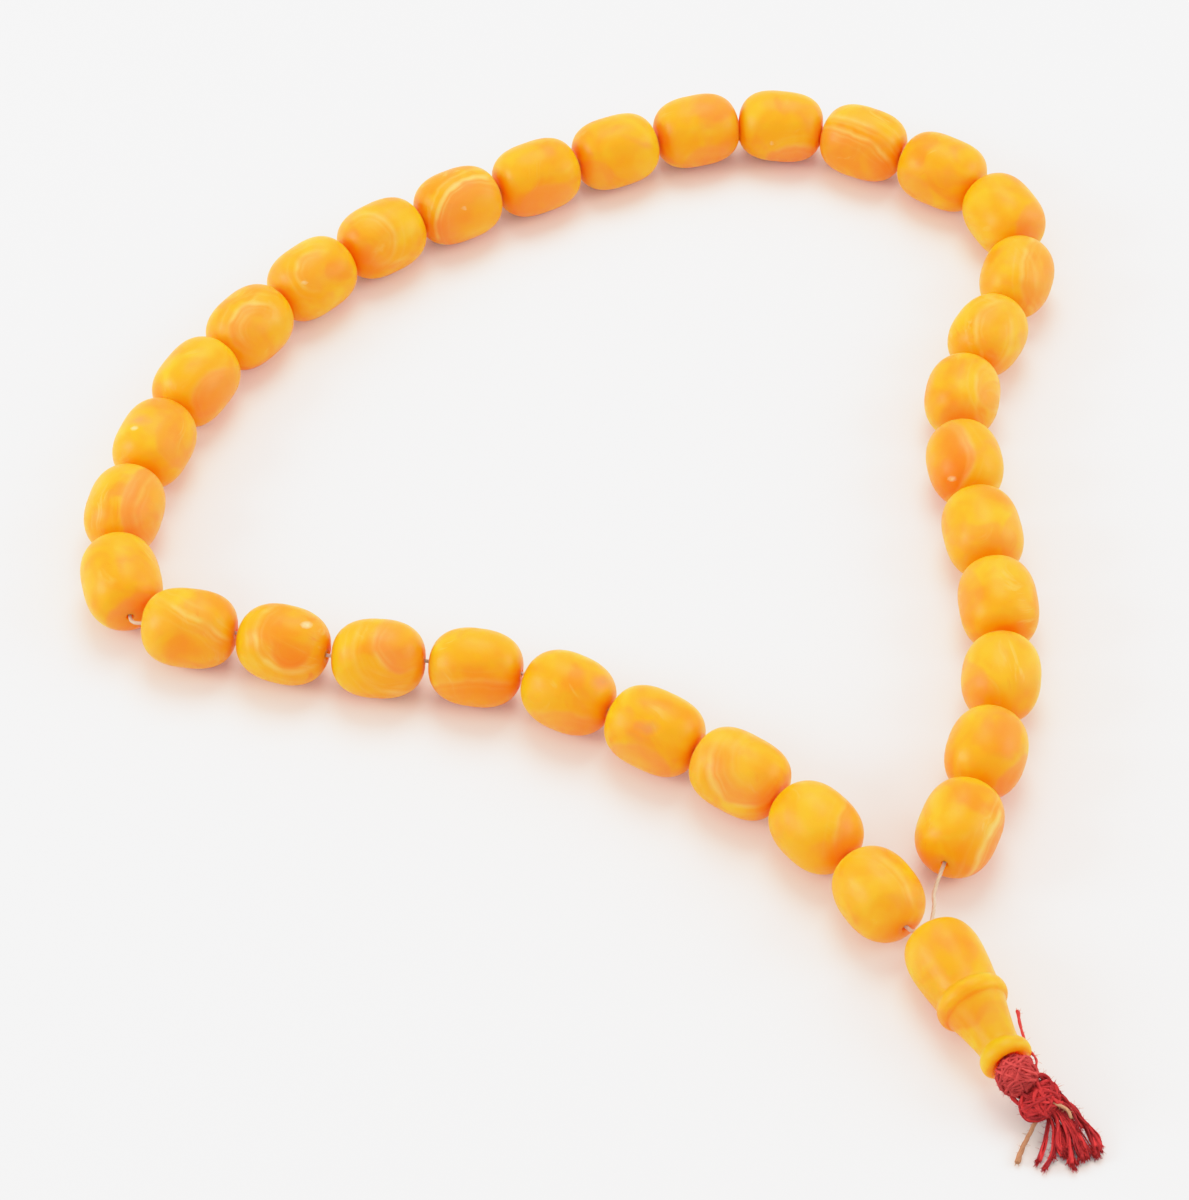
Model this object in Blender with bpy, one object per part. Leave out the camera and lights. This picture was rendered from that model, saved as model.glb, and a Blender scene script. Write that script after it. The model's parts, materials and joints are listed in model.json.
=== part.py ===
"""A 33-bead misbaha (prayer strand) lying on a table, built to real size.

Thirty-three drilled barrel beads hang on one thin thread. Both ends of the thread run into
the imame, the long turned leader bead, and are tied into the red tassel below it.
Metres, +Z up, the table is z = 0, and the origin is the middle of the strand's footprint.
The thread is cut into stretches at the places where the strand is hinged, so that it can bend.
"""

import math

import bmesh
import bpy
from mathutils import Vector

MM = 0.001

# Beads: a drilled barrel with bulging sides and softly domed ends.
BEAD_COUNT = 33
BEAD_LENGTH = 14.0 * MM
BEAD_DIAMETER = 11.8 * MM
BEAD_BORE = 1.6 * MM
BEAD_BELT = 2.4 * MM
BEAD_ROUNDNESS = 2.65
BEAD_END_TRIM = 0.1 * MM
BEAD_END_RADIUS = 1.1 * MM
BEAD_SHOULDER_DEGREES = (30, 54)
BEAD_SIDES = 14
BEAD_AXIS_HEIGHT = BEAD_DIAMETER / 2

# Gaps between neighbouring beads, named by the first bead of the pair.
USUAL_GAP = 0.45 * MM
GAP_AFTER_BEAD = {5: 0.6 * MM, 9: 3.5 * MM, 23: 0.85 * MM, 24: 1.4 * MM}
CORNER_BEAD = 9

# The thread's route on the table, in millimetres. Both runs start at the sharp corner of the
# strand, between beads 9 and 10. The lower run leads to the imame past bead 1, the upper run
# goes round the far side and comes back to the imame past bead 33.
LOWER_RUN = [
    (-66.5, -12.0), (-51.0, -14.0), (-37.0, -18.5), (-22.5, -19.5), (-8.0, -22.0),
    (4.5, -29.0), (17.0, -36.5), (29.0, -45.0), (38.0, -56.0), (45.0, -68.0), (48.0, -73.0),
]
UPPER_RUN = [
    (-66.5, -12.0), (-70.5, 2.5), (-68.0, 18.0), (-58.5, 42.0), (-37.0, 67.5),
    (-14.5, 81.5), (12.5, 94.5), (25.5, 98.5), (40.5, 96.5), (53.5, 90.0), (66.0, 82.0),
    (72.0, 68.5), (68.0, 55.0), (61.0, 42.5), (58.0, 28.5), (59.5, 14.5), (62.5, -13.0),
    (60.5, -29.5), (56.5, -43.0), (51.0, -57.0), (49.5, -62.0),
]
RUN_SAMPLES = 80

# Thread. The two end routes are (distance from the imame's mouth, offset to its left, height).
THREAD_DIAMETER = 0.6 * MM
THREAD_END_GAP = 0.15 * MM
THREAD_BEVEL_RESOLUTION = 2
BEADS_PER_STRETCH = 2
FIRST_END_ROUTE = [(-0.25, -0.5, 5.4), (-0.8, -2.25, 5.7), (-1.6, -2.65, 5.85), (-2.6, -2.95, 5.9)]
LAST_END_ROUTE = [(-5.55, 3.6, 5.8), (-3.6, 2.8, 5.7), (-2.0, 1.7, 5.55), (-0.6, 0.55, 5.4)]

# Imame: a turned leader bead. The profile is (distance from the mouth, radius) in millimetres.
IMAME_MOUTH = Vector((48.3 * MM, -68.2 * MM, 5.4 * MM))
IMAME_HEADING = math.radians(-66.5)
IMAME_PROFILE = [
    (0.0, 2.6), (0.7, 4.0), (1.9, 4.95), (4.0, 5.4), (6.5, 5.35), (9.5, 5.0), (12.2, 4.6),
    (12.6, 5.0), (13.3, 5.2), (14.0, 5.0), (14.4, 4.35), (17.0, 3.65), (20.5, 2.9),
    (21.8, 2.9), (22.2, 3.4), (22.8, 3.7), (23.5, 3.65), (24.0, 3.2),
]
IMAME_LENGTH = 24.0 * MM
IMAME_BORE = 2.0 * MM
IMAME_SIDES = 20
MOUTH_RADIUS = 1.9 * MM
MOUTH_DEPTH = 1.2 * MM
PAIR_DIAMETER = 1.2 * MM
PAIR_START = 1.0 * MM

# Tassel: a round knot seated in the imame's lip, a flatter knot below it, and a short fringe.
KNOT_DISTANCE = 26.2 * MM
KNOT_RADIUS = 2.8 * MM
SEAT_CLEARANCE = 0.35 * MM
LOWER_KNOT_CENTRE = Vector((62.2, -95.7, 3.4)) * MM
LOWER_KNOT_RADII = Vector((2.0, 3.1, 2.3)) * MM
LOWER_KNOT_HEADING = math.radians(-44.0)
FRINGE_HEADING = math.radians(-76.0)
FRINGE_ROOT = Vector((63.8, -98.0, 2.6)) * MM
FRINGE_SECTIONS = [(0.0, 1.5, 1.3, 2.6), (2.0, 2.3, 1.3, 1.9), (4.5, 3.6, 1.1, 1.25), (7.0, 4.4, 0.9, 0.9)]
FRINGE_SIDES = 12
STRAY_THREAD_DIAMETER = 0.45 * MM
STRAY_THREAD_ROUTE = [
    (61.6, -90.4, 6.2), (61.9, -89.0, 5.6), (61.2, -87.2, 5.0), (60.6, -85.2, 4.2), (60.3, -82.6, 3.0),
    (60.0, -80.2, 1.8), (59.8, -78.4, 0.9),
]
TAIL_ROUTE = [(61.2, -98.6, 1.7), (60.4, -100.0, 1.0), (59.4, -101.8, 0.6), (58.7, -103.0, 0.5)]
SHORT_TAIL_ROUTE = [(64.7, -96.9, 5.2), (65.5, -97.8, 5.1), (66.4, -99.1, 4.4)]
TAIL_DIAMETER = 0.8 * MM

# Finishes: colour, roughness, metallic.
AMBER_RESIN = ("amber_resin", (0.95, 0.47, 0.03), 0.34, 0.0)
THREAD_FIBRE = ("thread_fibre", (0.78, 0.66, 0.50), 0.85, 0.0)
CRIMSON_YARN = ("crimson_yarn", (0.50, 0.02, 0.03), 0.9, 0.0)


# Scene and material helpers


def clear_scene():
    for item in list(bpy.data.objects):
        bpy.data.objects.remove(item, do_unlink=True)


def material(finish):
    name, colour, roughness, metallic = finish
    found = bpy.data.materials.get(name)
    if found:
        return found
    made = bpy.data.materials.new(name)
    made.use_nodes = True
    shader = made.node_tree.nodes["Principled BSDF"]
    shader.inputs["Base Color"].default_value = (*colour, 1.0)
    shader.inputs["Roughness"].default_value = roughness
    shader.inputs["Metallic"].default_value = metallic
    made.diffuse_color = (*colour, 1.0)
    return made


def add_object(name, data, location=(0, 0, 0), heading=0.0):
    item = bpy.data.objects.new(name, data)
    item.location = location
    item.rotation_euler = (0.0, 0.0, heading)
    bpy.context.scene.collection.objects.link(item)
    return item


def attach(item, parent):
    """Parents an object to an unrotated empty and keeps it where it is."""
    item.parent = parent
    item.location = item.location - world_location(parent)


def world_location(item):
    place = Vector((0, 0, 0))
    while item:
        place += item.location
        item = item.parent
    return place


def mesh_from_bmesh(name, shape, finish):
    bmesh.ops.recalc_face_normals(shape, faces=shape.faces)
    mesh = bpy.data.meshes.new(name)
    shape.to_mesh(mesh)
    shape.free()
    mesh.materials.append(material(finish))
    mesh.shade_smooth()
    mesh.set_sharp_from_angle(angle=math.radians(35))
    return mesh


# Shapes


def join_rings(shape, rings, closed_lengthwise):
    """Quads between each ring of vertices and the next one."""
    count = len(rings) if closed_lengthwise else len(rings) - 1
    for i in range(count):
        near, far = rings[i], rings[(i + 1) % len(rings)]
        for k in range(len(near)):
            after = (k + 1) % len(near)
            shape.faces.new((near[k], far[k], far[after], near[after]))


def turned_mesh(name, outer, bore, sides, finish):
    """A drilled, turned solid around +X. outer and bore are lists of (x, radius)."""
    shape = bmesh.new()
    flat_to_round = 1.0 / math.cos(math.pi / sides)
    rings = []
    for points, scale in ((outer, flat_to_round), (bore, 1.0)):
        for x, radius in points:
            ring = []
            for k in range(sides):
                angle = 2 * math.pi * (k + 0.5) / sides - math.pi / 2
                across = radius * scale
                ring.append(shape.verts.new((x, across * math.cos(angle), across * math.sin(angle))))
            rings.append(ring)
    join_rings(shape, rings, closed_lengthwise=True)
    return mesh_from_bmesh(name, shape, finish)


def bead_profile():
    """A superellipse from one drilled end to the other, with a straight belt in the middle."""
    power = 2.0 / BEAD_ROUNDNESS
    half = [(BEAD_LENGTH / 2 - BEAD_END_TRIM, BEAD_END_RADIUS)]
    for degrees in BEAD_SHOULDER_DEGREES:
        angle = math.radians(degrees)
        x = BEAD_LENGTH / 2 * math.cos(angle) ** power
        half.append((x, BEAD_DIAMETER / 2 * math.sin(angle) ** power))
    half.append((BEAD_BELT / 2, BEAD_DIAMETER / 2))
    return [(-x, radius) for x, radius in half] + [(x, radius) for x, radius in reversed(half)]


def bead_mesh():
    end = BEAD_LENGTH / 2 - BEAD_END_TRIM
    bore = [(end, BEAD_BORE / 2), (-end, BEAD_BORE / 2)]
    return turned_mesh("bead", bead_profile(), bore, BEAD_SIDES, AMBER_RESIN)


def imame_mesh():
    """The leader bead, with a flared mouth for the thread and a round seat for the knot."""
    outer = [(x * MM, radius * MM) for x, radius in IMAME_PROFILE]
    seat_radius = KNOT_RADIUS + SEAT_CLEARANCE
    seat_rim = math.sqrt(seat_radius**2 - (KNOT_DISTANCE - IMAME_LENGTH) ** 2)
    seat_floor = KNOT_DISTANCE - math.sqrt(seat_radius**2 - (IMAME_BORE / 2) ** 2)
    bore = [
        (IMAME_LENGTH, seat_rim),
        (seat_floor, IMAME_BORE / 2),
        (MOUTH_DEPTH, IMAME_BORE / 2),
        (0.0, MOUTH_RADIUS),
    ]
    return turned_mesh("imame", outer, bore, IMAME_SIDES, AMBER_RESIN)


def ball_mesh(name, radii, finish):
    shape = bmesh.new()
    bmesh.ops.create_uvsphere(shape, u_segments=14, v_segments=10, radius=1.0)
    bmesh.ops.scale(shape, vec=radii, verts=shape.verts)
    return mesh_from_bmesh(name, shape, finish)


def fringe_mesh():
    """A flat skirt of yarn ends that widens and drops onto the table, along +X from its root."""
    shape = bmesh.new()
    rings = []
    for x, half_width, half_height, z in FRINGE_SECTIONS:
        ring = []
        for k in range(FRINGE_SIDES):
            angle = 2 * math.pi * k / FRINGE_SIDES
            y = half_width * MM * math.cos(angle)
            ring.append(shape.verts.new((x * MM, y, z * MM + half_height * MM * math.sin(angle))))
        rings.append(ring)
    join_rings(shape, rings, closed_lengthwise=False)
    shape.faces.new(rings[0])
    shape.faces.new(rings[-1])
    return mesh_from_bmesh("tassel_fringe", shape, CRIMSON_YARN)


def tube(name, points, diameter, finish):
    """A round cord along the points, as a curve with filled ends."""
    curve = bpy.data.curves.new(name, "CURVE")
    curve.dimensions = "3D"
    curve.bevel_depth = diameter / 2
    curve.bevel_resolution = THREAD_BEVEL_RESOLUTION
    curve.use_fill_caps = True
    spline = curve.splines.new("POLY")
    spline.points.add(len(points) - 1)
    origin = Vector(points[0])
    for spot, point in zip(spline.points, points):
        spot.co = (*(Vector(point) - origin), 1.0)
    curve.materials.append(material(finish))
    return add_object(name, curve, origin)


# Layout of the strand


def smooth_run(points):
    """Samples of a smooth curve through the points, in metres."""
    knots = [Vector(p) * MM for p in points]
    times = [0.0]
    for a, b in zip(knots, knots[1:]):
        times.append(times[-1] + (b - a).length)
    slopes = []
    for i in range(len(knots)):
        before, after = max(i - 1, 0), min(i + 1, len(knots) - 1)
        slopes.append((knots[after] - knots[before]) / (times[after] - times[before]))
    samples = []
    for i in range(len(knots) - 1):
        span = times[i + 1] - times[i]
        for k in range(RUN_SAMPLES):
            t = k / RUN_SAMPLES
            samples.append(
                knots[i] * (2 * t**3 - 3 * t**2 + 1)
                + slopes[i] * span * (t**3 - 2 * t**2 + t)
                + knots[i + 1] * (3 * t**2 - 2 * t**3)
                + slopes[i + 1] * span * (t**3 - t**2)
            )
    return samples + [knots[-1]]


def gap_after(bead):
    return GAP_AFTER_BEAD.get(bead, USUAL_GAP)


def string_beads(run, beads, next_of_pair):
    """Strings the beads along a run, outwards from the corner.

    Returns {bead: (gap point nearer the corner, bead centre, gap point further out)}.
    next_of_pair is 1 where bead numbers rise away from the corner, and -1 where they fall.
    """
    samples = smooth_run(run)
    spot, index, placed = samples[0], 0, {}
    for bead in beads:
        near = gap_after(bead - 1) if next_of_pair > 0 else gap_after(bead)
        far = gap_after(bead) if next_of_pair > 0 else gap_after(bead - 1)
        reach = near / 2 + BEAD_LENGTH + far / 2
        while index < len(samples) - 1 and (samples[index] - spot).length < reach:
            index += 1
        way = (samples[index] - spot).normalized()
        centre = spot + way * (near / 2 + BEAD_LENGTH / 2)
        outer = spot + way * reach
        placed[bead] = (spot.copy(), centre, outer)
        spot = outer
    return placed


def strand_layout():
    """{bead: (start gap point, centre, end gap point, heading)}, beads in order from the imame."""
    lower = string_beads(LOWER_RUN, range(CORNER_BEAD, 0, -1), -1)
    upper = string_beads(UPPER_RUN, range(CORNER_BEAD + 1, BEAD_COUNT + 1), 1)
    layout = {}
    for bead in range(1, BEAD_COUNT + 1):
        if bead <= CORNER_BEAD:
            end, centre, start = lower[bead]
        else:
            start, centre, end = upper[bead]
        way = end - start
        layout[bead] = (start, centre, end, math.atan2(way.y, way.x))
    return layout


def stretches():
    """The beads on each stretch of thread: bead 1 alone, and then two by two."""
    groups = [[1]]
    for first in range(2, BEAD_COUNT + 1, BEADS_PER_STRETCH):
        groups.append([first, first + 1])
    return groups


def at_height(point, height):
    return Vector((point.x, point.y, height))


def imame_point(distance, aside=0.0, height=IMAME_MOUTH.z):
    """A point on the imame's axis, or beside it, measured from its mouth."""
    along = Vector((math.cos(IMAME_HEADING), math.sin(IMAME_HEADING), 0.0))
    across = Vector((-along.y, along.x, 0.0))
    return at_height(IMAME_MOUTH + along * distance + across * aside, height)


def end_route(route):
    return [imame_point(s * MM, aside * MM, height * MM) for s, aside, height in route]


def heading_change(layout, bead):
    """How sharply the thread bends after a bead, in radians."""
    turn = layout[bead + 1][3] - layout[bead][3]
    return abs(math.atan2(math.sin(turn), math.cos(turn)))


def trimmed(point, towards, bend):
    """An end of a stretch, drawn back from its hinge so that two stretches never meet."""
    back = THREAD_DIAMETER / 2 * math.tan(bend / 2) + THREAD_END_GAP
    return point + (towards - point).normalized() * back


def thread_points(layout, beads, is_first, is_last):
    """The stretch through the given beads, from hinge to hinge, or to the imame's mouth."""
    first, last = beads[0], beads[-1]
    points = []
    if is_first:
        points.extend(end_route(FIRST_END_ROUTE))
    else:
        hinge = at_height(layout[first][0], BEAD_AXIS_HEIGHT)
        inwards = at_height(layout[first][1], BEAD_AXIS_HEIGHT)
        points.append(trimmed(hinge, inwards, heading_change(layout, first - 1)))
    for bead in beads:
        points.append(at_height(layout[bead][1], BEAD_AXIS_HEIGHT))
        if bead != last:
            points.extend(eased_elbow(layout[bead][1], layout[bead][2], layout[bead + 1][1]))
    if is_last:
        points.append(at_height(layout[last][2], BEAD_AXIS_HEIGHT))
        points.extend(end_route(LAST_END_ROUTE))
    else:
        hinge = at_height(layout[last][2], BEAD_AXIS_HEIGHT)
        inwards = at_height(layout[last][1], BEAD_AXIS_HEIGHT)
        points.append(trimmed(hinge, inwards, heading_change(layout, last)))
    return points


def eased_elbow(before, corner, after):
    """Three points that round off the thread's bend in the gap between two beads."""
    corner = at_height(corner, BEAD_AXIS_HEIGHT)
    back = (at_height(before, BEAD_AXIS_HEIGHT) - corner).normalized()
    ahead = (at_height(after, BEAD_AXIS_HEIGHT) - corner).normalized()
    ease = THREAD_DIAMETER
    return [corner + back * ease, corner + (back + ahead) * ease / 4, corner + ahead * ease]


# Assembly


def add_beads_and_thread():
    """Every stretch of thread with its beads, each on an empty at the hinge that carries it."""
    layout = strand_layout()
    groups = stretches()
    bead_shape = bead_mesh()
    carrier = None
    for number, beads in enumerate(groups, start=1):
        is_first, is_last = number == 1, number == len(groups)
        pivot = IMAME_MOUTH if is_first else at_height(layout[beads[0]][0], BEAD_AXIS_HEIGHT)
        hinge = add_object(f"hinge_{number:02d}", None, pivot)
        if carrier:
            attach(hinge, carrier)
        carrier = hinge
        points = thread_points(layout, beads, is_first, is_last)
        attach(tube(f"thread_{number:02d}", points, THREAD_DIAMETER, THREAD_FIBRE), hinge)
        for bead in beads:
            centre, heading = layout[bead][1], layout[bead][3]
            place = at_height(centre, BEAD_AXIS_HEIGHT)
            attach(add_object(f"bead_{bead:02d}", bead_shape, place, heading), hinge)


def add_imame():
    swing = add_object("imame_pivot", None, IMAME_MOUTH)
    attach(add_object("imame", imame_mesh(), IMAME_MOUTH, IMAME_HEADING), swing)
    pair_end = KNOT_DISTANCE - KNOT_RADIUS - SEAT_CLEARANCE
    points = [imame_point(PAIR_START), imame_point((PAIR_START + pair_end) / 2), imame_point(pair_end)]
    attach(tube("thread_pair", points, PAIR_DIAMETER, THREAD_FIBRE), swing)
    route = [Vector(p) * MM for p in STRAY_THREAD_ROUTE]
    attach(tube("stray_yarn_end", route, STRAY_THREAD_DIAMETER, CRIMSON_YARN), swing)
    return swing


def add_tassel(swing):
    pivot = imame_point(KNOT_DISTANCE)
    hinge = add_object("tassel_pivot", None, pivot)
    attach(hinge, swing)
    knot_size = Vector((KNOT_RADIUS, KNOT_RADIUS, KNOT_RADIUS))
    attach(add_object("tassel_round_knot", ball_mesh("round_knot", knot_size, CRIMSON_YARN), pivot), hinge)
    lower = ball_mesh("lower_knot", LOWER_KNOT_RADII, CRIMSON_YARN)
    attach(add_object("tassel_lower_knot", lower, LOWER_KNOT_CENTRE, LOWER_KNOT_HEADING), hinge)
    root = at_height(FRINGE_ROOT, 0.0)
    attach(add_object("tassel_fringe", fringe_mesh(), root, FRINGE_HEADING), hinge)
    for name, route in (("thread_tail", TAIL_ROUTE), ("thread_short_tail", SHORT_TAIL_ROUTE)):
        attach(tube(name, [Vector(p) * MM for p in route], TAIL_DIAMETER, THREAD_FIBRE), hinge)


def main():
    clear_scene()
    add_beads_and_thread()
    add_tassel(add_imame())
    bpy.context.view_layer.update()


main()
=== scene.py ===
"""The looks of a 33-bead misbaha: marbled resin beads, their thread, the imame and its tassel.

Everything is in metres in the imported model's frame. Lengths given in millimetres carry MM.
"""

import json
import math
import random

import bmesh
import bpy
from mathutils import Matrix, Vector, noise


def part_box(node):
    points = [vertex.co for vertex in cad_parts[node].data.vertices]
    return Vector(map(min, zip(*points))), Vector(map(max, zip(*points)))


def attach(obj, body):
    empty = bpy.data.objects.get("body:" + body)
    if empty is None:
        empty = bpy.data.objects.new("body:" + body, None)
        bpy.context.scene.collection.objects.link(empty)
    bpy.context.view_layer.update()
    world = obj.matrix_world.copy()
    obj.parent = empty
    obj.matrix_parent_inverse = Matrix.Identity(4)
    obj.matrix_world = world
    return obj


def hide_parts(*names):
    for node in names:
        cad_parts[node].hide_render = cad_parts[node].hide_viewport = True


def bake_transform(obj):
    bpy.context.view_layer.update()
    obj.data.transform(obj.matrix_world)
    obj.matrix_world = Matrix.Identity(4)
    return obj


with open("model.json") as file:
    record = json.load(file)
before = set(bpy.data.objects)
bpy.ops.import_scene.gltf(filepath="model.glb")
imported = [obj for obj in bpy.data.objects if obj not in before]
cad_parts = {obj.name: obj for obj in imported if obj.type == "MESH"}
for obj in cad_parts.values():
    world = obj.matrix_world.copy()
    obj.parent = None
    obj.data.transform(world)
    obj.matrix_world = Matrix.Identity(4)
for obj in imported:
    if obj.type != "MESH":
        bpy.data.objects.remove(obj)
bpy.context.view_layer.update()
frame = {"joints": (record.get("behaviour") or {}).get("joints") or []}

MM = 0.001
BEAD_COUNT = 33
HINGE_COUNT = 16

JOINTS = {joint["name"]: joint for joint in frame["joints"]}

# Seeds of the random draws. The numbered pieces add their own number.
BEAD_SHAPE_SEED = 1000
BEAD_RESIN_SEED = 50
IMAME_RESIN_SEED = 7
CORD_BEND_SEED = 200
CORD_RUN_SEED = 300
CORD_START_SEED = 401
CORD_END_SEED = 402
CORD_PAIR_SEED = 403
ROUND_KNOT_SEED = 11
LOWER_KNOT_SEED = 12
FRINGE_SEED = 13
STRAY_SEED = 14
TAIL_SEED = 11
SHORT_TAIL_SEED = 17


# Objects and places


def new_object(name, data):
    """An object that is linked into the scene."""
    made = bpy.data.objects.new(name, data)
    bpy.context.scene.collection.objects.link(made)
    return made


def mesh_from(shape, name, material):
    """A mesh of one material from a bmesh, which is freed."""
    mesh = bpy.data.meshes.new(name)
    shape.to_mesh(mesh)
    shape.free()
    mesh.materials.append(material)
    return mesh


def bead_place(number):
    """A bead's centre, and the direction of its bore towards the next bead, at rest."""
    low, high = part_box(f"bead_{number:02d}")
    joint = JOINTS.get(f"turn_bead_{number:02d}") or JOINTS[f"slide_bead_{number:02d}"]
    return (low + high) / 2, Vector(joint["axis"]).normalized()


def imame_place():
    """The middle of the imame's mouth, and the direction from there to its lip, at rest."""
    mouth = Vector(JOINTS["imame_swing"]["pos_m"])
    return mouth, (Vector(JOINTS["tassel_swing"]["pos_m"]) - mouth).normalized()


def heading_of(along):
    """The turn that points a piece's own +X along a level direction."""
    return Matrix.Rotation(math.atan2(along.y, along.x), 3, "Z")


# Camera, floor and light

CAMERA_TARGET = Vector((2.0, -2.4, 0.0)) * MM
CAMERA_DISTANCE = 581.87 * MM
CAMERA_ELEVATION = math.radians(48.7)
CAMERA_LENS = 115.8
# The picture's right, up and towards the camera, as rows
VIEW_UP = Vector((0.0, math.sin(CAMERA_ELEVATION), math.cos(CAMERA_ELEVATION)))
VIEW_TOWARDS = Vector((0.0, -math.cos(CAMERA_ELEVATION), math.sin(CAMERA_ELEVATION)))
VIEW_AXES = Matrix((Vector((1.0, 0.0, 0.0)), VIEW_UP, VIEW_TOWARDS))

WORLD_STRENGTH = 0.98
# The soft lights: name, place, size and power
SOFTBOXES = [
    ("softbox_left", (-0.80, -0.10, 0.36), 0.42, 4.7),
    ("softbox_right", (0.85, 0.05, 0.42), 0.60, 3.55),
    ("softbox_back", (0.03, 0.45, 0.80), 0.60, 4.2),
]
FLOOR_COLOUR = (0.77, 0.77, 0.77)
FLOOR_HALF_SIDE = 3.0

# The picture's tones: (scene value, shown value). Bright paper is held just under white.
TONE_WHITE = 2.4
TONES = [
    (0.30, 0.305), (0.50, 0.492), (0.70, 0.645), (0.90, 0.765), (1.10, 0.850),
    (1.28, 0.900), (1.45, 0.923), (1.58, 0.958), (1.75, 0.982), (2.05, 0.993),
]
# Before that, reds move up a little and blues down a little: (scene value, value moved to).
RED_TONES = [
    (0.30, 0.31), (0.50, 0.53), (0.70, 0.79), (0.84, 0.97), (1.00, 1.10), (1.15, 1.21),
    (1.30, 1.32), (1.42, 1.42), (1.50, 1.60), (1.62, 1.76), (1.90, 1.98),
]
BLUE_TONES = [
    (0.20, 0.20), (0.40, 0.37), (0.55, 0.50), (0.70, 0.64), (0.90, 0.84), (1.10, 1.06),
    (1.30, 1.29), (1.42, 1.42), (1.90, 1.90),
]


def add_camera():
    data = bpy.data.cameras.new("camera")
    data.lens = CAMERA_LENS
    data.sensor_width = 36.0
    data.clip_start = 0.01
    camera = new_object("camera", data)
    camera.location = CAMERA_TARGET + VIEW_TOWARDS * CAMERA_DISTANCE
    camera.rotation_euler = (math.pi / 2 - CAMERA_ELEVATION, 0.0, 0.0)
    bpy.context.scene.camera = camera


def set_tones():
    view = bpy.context.scene.view_settings
    view.view_transform = "Standard"
    view.use_curve_mapping = True
    mapping = view.curve_mapping
    mapping.white_level = (TONE_WHITE, TONE_WHITE, TONE_WHITE)
    red, _, blue, combined = mapping.curves
    for value, shown in TONES:
        combined.points.new(value / TONE_WHITE, shown)
    for curve, tones in ((red, RED_TONES), (blue, BLUE_TONES)):
        for value, moved in tones:
            curve.points.new(value / TONE_WHITE, moved / TONE_WHITE)
    mapping.update()


def add_softbox(name, location, size, power):
    data = bpy.data.lights.new(name, "AREA")
    data.shape = "DISK"
    data.size = size
    data.energy = power
    light = new_object(name, data)
    light.location = location
    light.rotation_euler = (-Vector(location)).to_track_quat("-Z", "Y").to_euler()


def add_light():
    world = bpy.data.worlds.new("studio")
    world.use_nodes = True
    background = world.node_tree.nodes["Background"]
    background.inputs["Color"].default_value = (1.0, 1.0, 1.0, 1.0)
    background.inputs["Strength"].default_value = WORLD_STRENGTH
    bpy.context.scene.world = world
    for softbox in SOFTBOXES:
        add_softbox(*softbox)


def add_floor():
    shape = bmesh.new()
    bmesh.ops.create_grid(shape, x_segments=1, y_segments=1, size=FLOOR_HALF_SIDE)
    material, shader, _ = new_material("floor_paper", FLOOR_COLOUR, 0.8)
    shader.inputs["Specular IOR Level"].default_value = 0.2
    floor = new_object("floor", mesh_from(shape, "floor", material))


# Node helpers


def new_material(name, colour, roughness):
    material = bpy.data.materials.new(name)
    material.use_nodes = True
    tree = material.node_tree
    shader = tree.nodes["Principled BSDF"]
    shader.inputs["Base Color"].default_value = (*colour, 1.0)
    shader.inputs["Roughness"].default_value = roughness
    return material, shader, tree


def add_node(tree, kind, **values):
    """A node with its properties, or its inputs where the name is an input's, set."""
    node = tree.nodes.new(kind)
    for name, value in values.items():
        if hasattr(node, name):
            setattr(node, name, value)
        else:
            node.inputs[name.replace("_", " ")].default_value = value
    return node


def math_node(tree, operation, *values, clamp=False):
    node = tree.nodes.new("ShaderNodeMath")
    node.operation = operation
    node.use_clamp = clamp
    for socket, value in zip(node.inputs, values):
        if isinstance(value, (int, float)):
            socket.default_value = value
        else:
            tree.links.new(value, socket)
    return node.outputs[0]


def mix_colour(tree, factor, first, second):
    node = tree.nodes.new("ShaderNodeMix")
    node.data_type = "RGBA"
    # The inputs of a colour mix are its factor, A and B
    for socket, value in ((node.inputs[0], factor), (node.inputs[6], first), (node.inputs[7], second)):
        if isinstance(value, (int, float)):
            socket.default_value = value
        elif isinstance(value, tuple):
            socket.default_value = (*value, 1.0)
        else:
            tree.links.new(value, socket)
    return node.outputs[2]


def ramp(tree, source, stops, interpolation="EASE"):
    """A colour ramp; each stop is (position, grey value or colour)."""
    node = tree.nodes.new("ShaderNodeValToRGB")
    node.color_ramp.interpolation = interpolation
    elements = node.color_ramp.elements
    while len(elements) < len(stops):
        elements.new(0.5)
    for element, (position, value) in zip(elements, stops):
        element.position = position
        element.color = (*value, 1.0) if isinstance(value, tuple) else (value, value, value, 1.0)
    tree.links.new(source, node.inputs["Fac"])
    return node.outputs["Color"]


def noise_node(tree, vector, scale, detail, roughness=0.5):
    node = add_node(tree, "ShaderNodeTexNoise", Scale=scale, Detail=detail, Roughness=roughness)
    tree.links.new(vector, node.inputs["Vector"])
    return node


def attribute(tree, name):
    return add_node(tree, "ShaderNodeAttribute", attribute_name=name)


def stretched(tree, vector, scale):
    node = add_node(tree, "ShaderNodeVectorMath", operation="MULTIPLY")
    tree.links.new(vector, node.inputs[0])
    node.inputs[1].default_value = scale
    return node.outputs[0]


# Resin

RESIN_DEEP = (0.97, 0.175, 0.001)
RESIN_ORANGE = (0.99, 0.235, 0.001)
RESIN_YELLOW = (1.0, 0.315, 0.001)
RESIN_LIGHT = (1.0, 0.38, 0.008)
RESIN_PEACH = (1.0, 0.235, 0.026)
RESIN_OCHRE = (0.93, 0.190, 0.001)
RESIN_CREAM = (1.0, 0.46, 0.09)
RESIN_VIOLET = (0.62, 0.20, 0.09)
RESIN_CHIP = (1.0, 0.82, 0.55)
# How far the stirring bends the marbling, and how far a seam wanders off its circle, in millimetres
FLOW_BEND = 13.0
SEAM_WANDER = 1.8
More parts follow.
